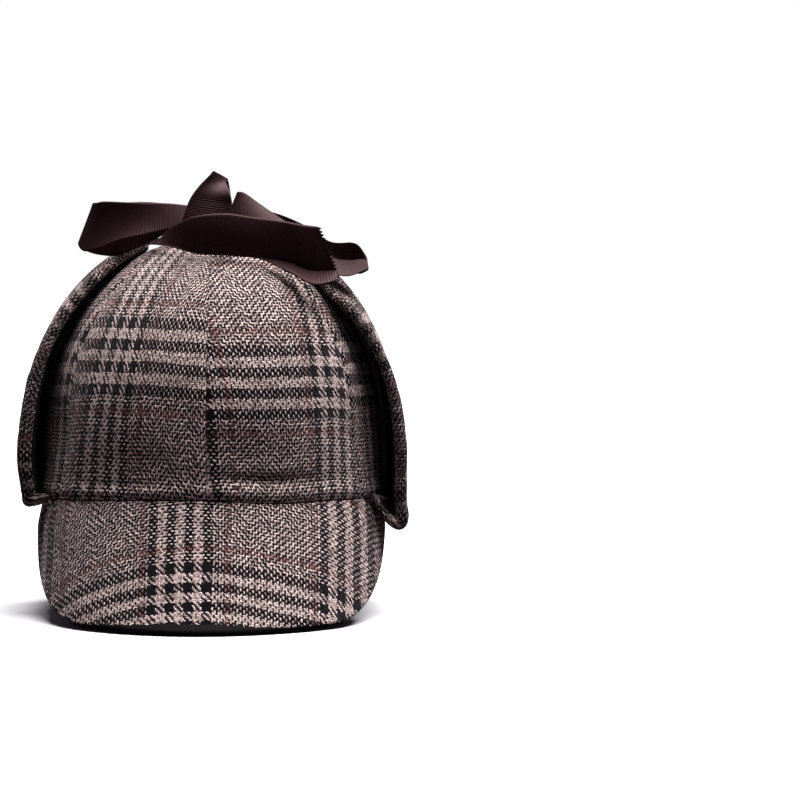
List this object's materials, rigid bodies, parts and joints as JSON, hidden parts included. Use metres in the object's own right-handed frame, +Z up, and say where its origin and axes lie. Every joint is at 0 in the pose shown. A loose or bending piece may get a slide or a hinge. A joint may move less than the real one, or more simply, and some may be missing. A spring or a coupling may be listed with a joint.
{
  "type": "deerstalker hat",
  "caption": "Tweed deerstalker hat with a round panelled crown, front and back peaks, turned-up ear flaps and a ribbon bow over the top.",
  "frame": {"origin": "on the surface that the hat rests on, under the middle of the crown", "axes": "+Z up, the front peak points towards -Y; left and right in the node names are as seen from the front, so ear_flap_left is on -X, over the wearer's right ear"},
  "size_m": [0.192, 0.28, 0.2206],
  "materials": {
    "tweed": "matte brown and black glen check wool",
    "ribbon": "dark brown grosgrain with a soft sheen"
  },
  "bodies": {
    "root": {"crown_panel_front_left": "tweed", "crown_panel_front_right": "tweed", "crown_panel_side_left": "tweed", "crown_panel_side_right": "tweed", "crown_panel_back_left": "tweed", "crown_panel_back_right": "tweed", "front_peak": "tweed", "back_peak": "tweed", "ear_flap_left": "tweed", "ear_flap_right": "tweed", "crown_button": "tweed", "ribbon_knot": "ribbon", "ribbon_tail_front": "ribbon", "ribbon_tail_back": "ribbon", "ribbon_tie_right": "ribbon", "ribbon_loop_left": "ribbon", "ribbon_loop_top": "ribbon", "ribbon_loop_right": "ribbon"}
  },
  "joints": []
}
